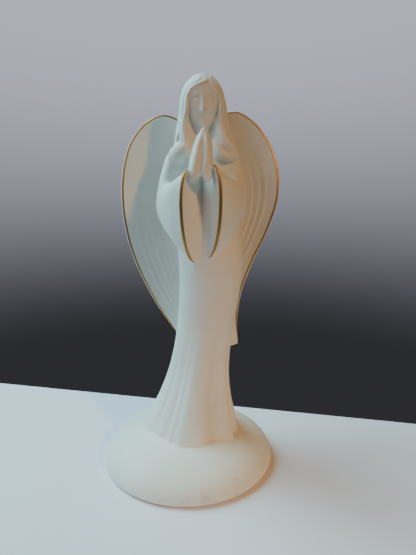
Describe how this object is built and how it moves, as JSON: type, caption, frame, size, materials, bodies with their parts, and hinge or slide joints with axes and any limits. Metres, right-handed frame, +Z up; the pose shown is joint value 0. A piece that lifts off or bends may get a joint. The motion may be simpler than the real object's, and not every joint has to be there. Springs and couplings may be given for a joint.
{
  "type": "praying angel figurine",
  "caption": "Slender porcelain angel figurine with folded hands, long parted hair, wide sleeves and cupped wings, standing on a round domed foot.",
  "frame": {"origin": "centre of the round foot's underside", "axes": "+Z up along the figure, -Y the way the angel faces, +X to the viewer's right"},
  "size_m": [0.104, 0.1, 0.2198],
  "materials": {
    "bisque_porcelain": "matt unglazed white bisque porcelain, with hand-painted gold lines on the wing rims and sleeve hems"
  },
  "bodies": {
    "root": {"angel_figurine": "bisque_porcelain"}
  },
  "joints": []
}
